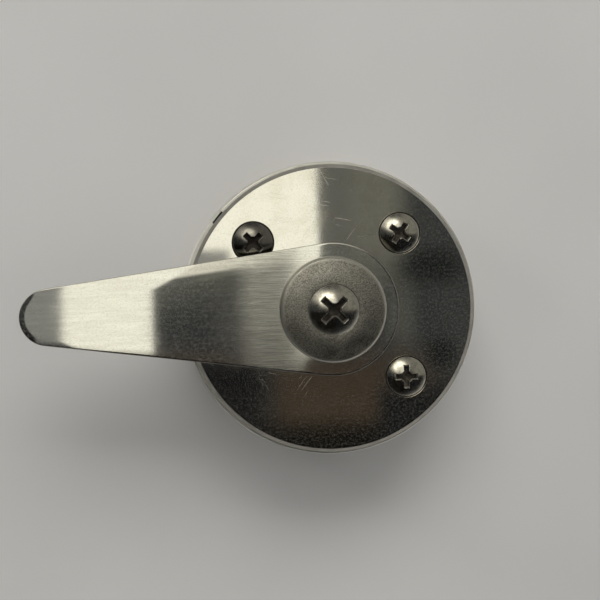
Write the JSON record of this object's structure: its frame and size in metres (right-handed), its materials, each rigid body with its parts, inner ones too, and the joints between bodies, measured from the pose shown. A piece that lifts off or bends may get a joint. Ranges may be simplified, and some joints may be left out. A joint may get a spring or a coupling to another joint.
{
  "type": "lever turn handle",
  "caption": "Lever turn handle for a window or shutter: tapered brushed lever on a round drum housing with a screwed polished cover plate.",
  "frame": {"origin": "centre of the flat back face, on the spindle axis", "axes": "+Z along the spindle, out of the front towards the lever; the lever points along -X at rest"},
  "size_m": [0.1028, 0.0682, 0.0295],
  "materials": {
    "polished_steel": "polished stainless steel with fine wear marks",
    "brushed_steel": "stainless steel brushed along the lever",
    "blasted_steel": "bead-blasted matte stainless steel",
    "screw_steel": "bright stainless steel, slightly dulled",
    "machined_steel": "machined steel",
    "spring_steel": "dark spring steel",
    "bronze": "sintered bronze",
    "rubber": "black nitrile rubber",
    "nylon": "natural nylon"
  },
  "bodies": {
    "housing_body": {"housing": "polished_steel", "cover_gasket": "rubber", "cover_plate": "polished_steel", "cover_screw_1": "screw_steel", "cover_screw_2": "screw_steel", "cover_screw_3": "screw_steel", "rear_bush": "bronze", "front_bush": "bronze", "stop_pin": "machined_steel", "thrust_washer": "machined_steel", "wave_spring": "spring_steel", "friction_washer": "nylon"},
    "lever_body": {"spindle": "machined_steel", "spindle_o_ring": "rubber", "retaining_ring": "spring_steel", "stop_disc": "machined_steel", "lever_spacer": "machined_steel", "lever": "brushed_steel", "hub_washer": "blasted_steel", "centre_screw": "screw_steel"}
  },
  "joints": [
    {"name": "lever_turn", "type": "hinge", "parent": "housing_body", "child": "lever_body", "pos_m": [0, 0, 0.0218], "axis": [0, 0, 1], "range_deg": [0, 90]}
  ]
}
